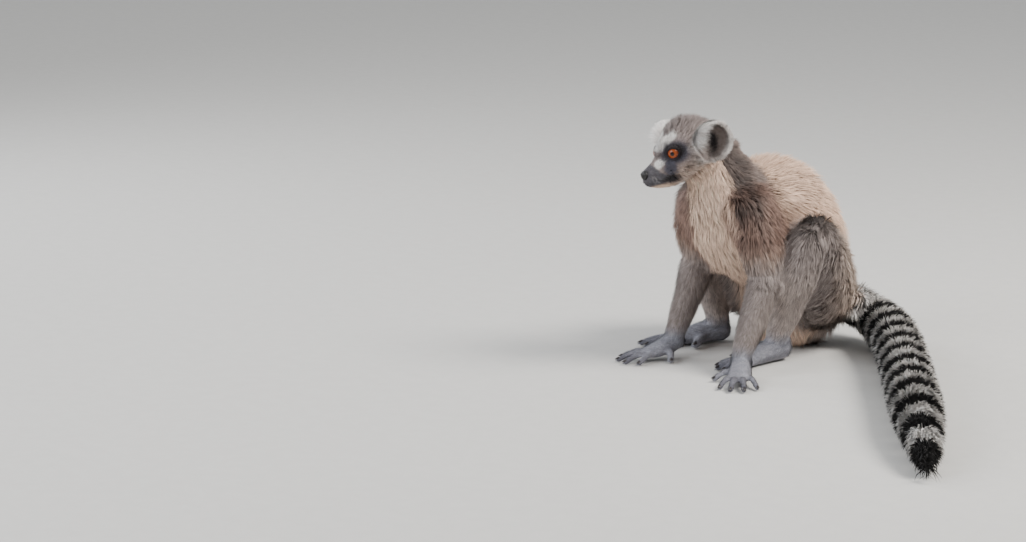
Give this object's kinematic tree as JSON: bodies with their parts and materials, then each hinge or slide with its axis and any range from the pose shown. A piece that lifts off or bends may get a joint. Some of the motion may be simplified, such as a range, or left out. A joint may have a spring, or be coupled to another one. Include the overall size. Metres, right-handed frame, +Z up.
{
  "type": "ring-tailed lemur model",
  "caption": "Life-size still model of a ring-tailed lemur sitting hunched with both hands on the floor and its tail swept round beside it.",
  "frame": {"origin": "On the floor, in the middle of the flat of the rump that the lemur sits on.", "axes": "+Z up; +X to the lemur's left; the lemur faces -Y."},
  "size_m": [0.5475, 0.4095, 0.2498],
  "materials": {
    "eye": "polished orange-brown model eye with a round black pupil",
    "nose_skin": "black, slightly moist-looking bare nose skin",
    "head_coat": "short fur, grey crown, white brow and cheeks, black eye patches and dark muzzle",
    "ear_coat": "white fur round a dark hollow",
    "neck_coat": "fur, cream throat and grey-brown nape",
    "back_coat": "dense fur, warm grey-brown on the back and cream beneath",
    "limb_coat": "short grey fur with dark flecks",
    "hand_coat": "very short blue-grey fur with dark nails and pads",
    "tail_coat": "long bushy fur in black and white rings"
  },
  "bodies": {
    "root": {"eye_left": "eye", "eye_right": "eye", "nose": "nose_skin", "head": "head_coat", "ear_left": "ear_coat", "ear_right": "ear_coat", "trunk": "back_coat", "neck": "neck_coat", "hand_left": "hand_coat", "hand_right": "hand_coat", "forearm_left": "limb_coat", "forearm_right": "limb_coat", "upper_arm_left": "limb_coat", "upper_arm_right": "limb_coat", "foot_left": "hand_coat", "foot_right": "hand_coat", "thigh_left": "limb_coat", "thigh_right": "limb_coat", "shank_left": "limb_coat", "shank_right": "limb_coat", "tail_1": "tail_coat", "tail_2": "tail_coat", "tail_3": "tail_coat", "tail_4": "tail_coat", "tail_5": "tail_coat"}
  },
  "joints": []
}
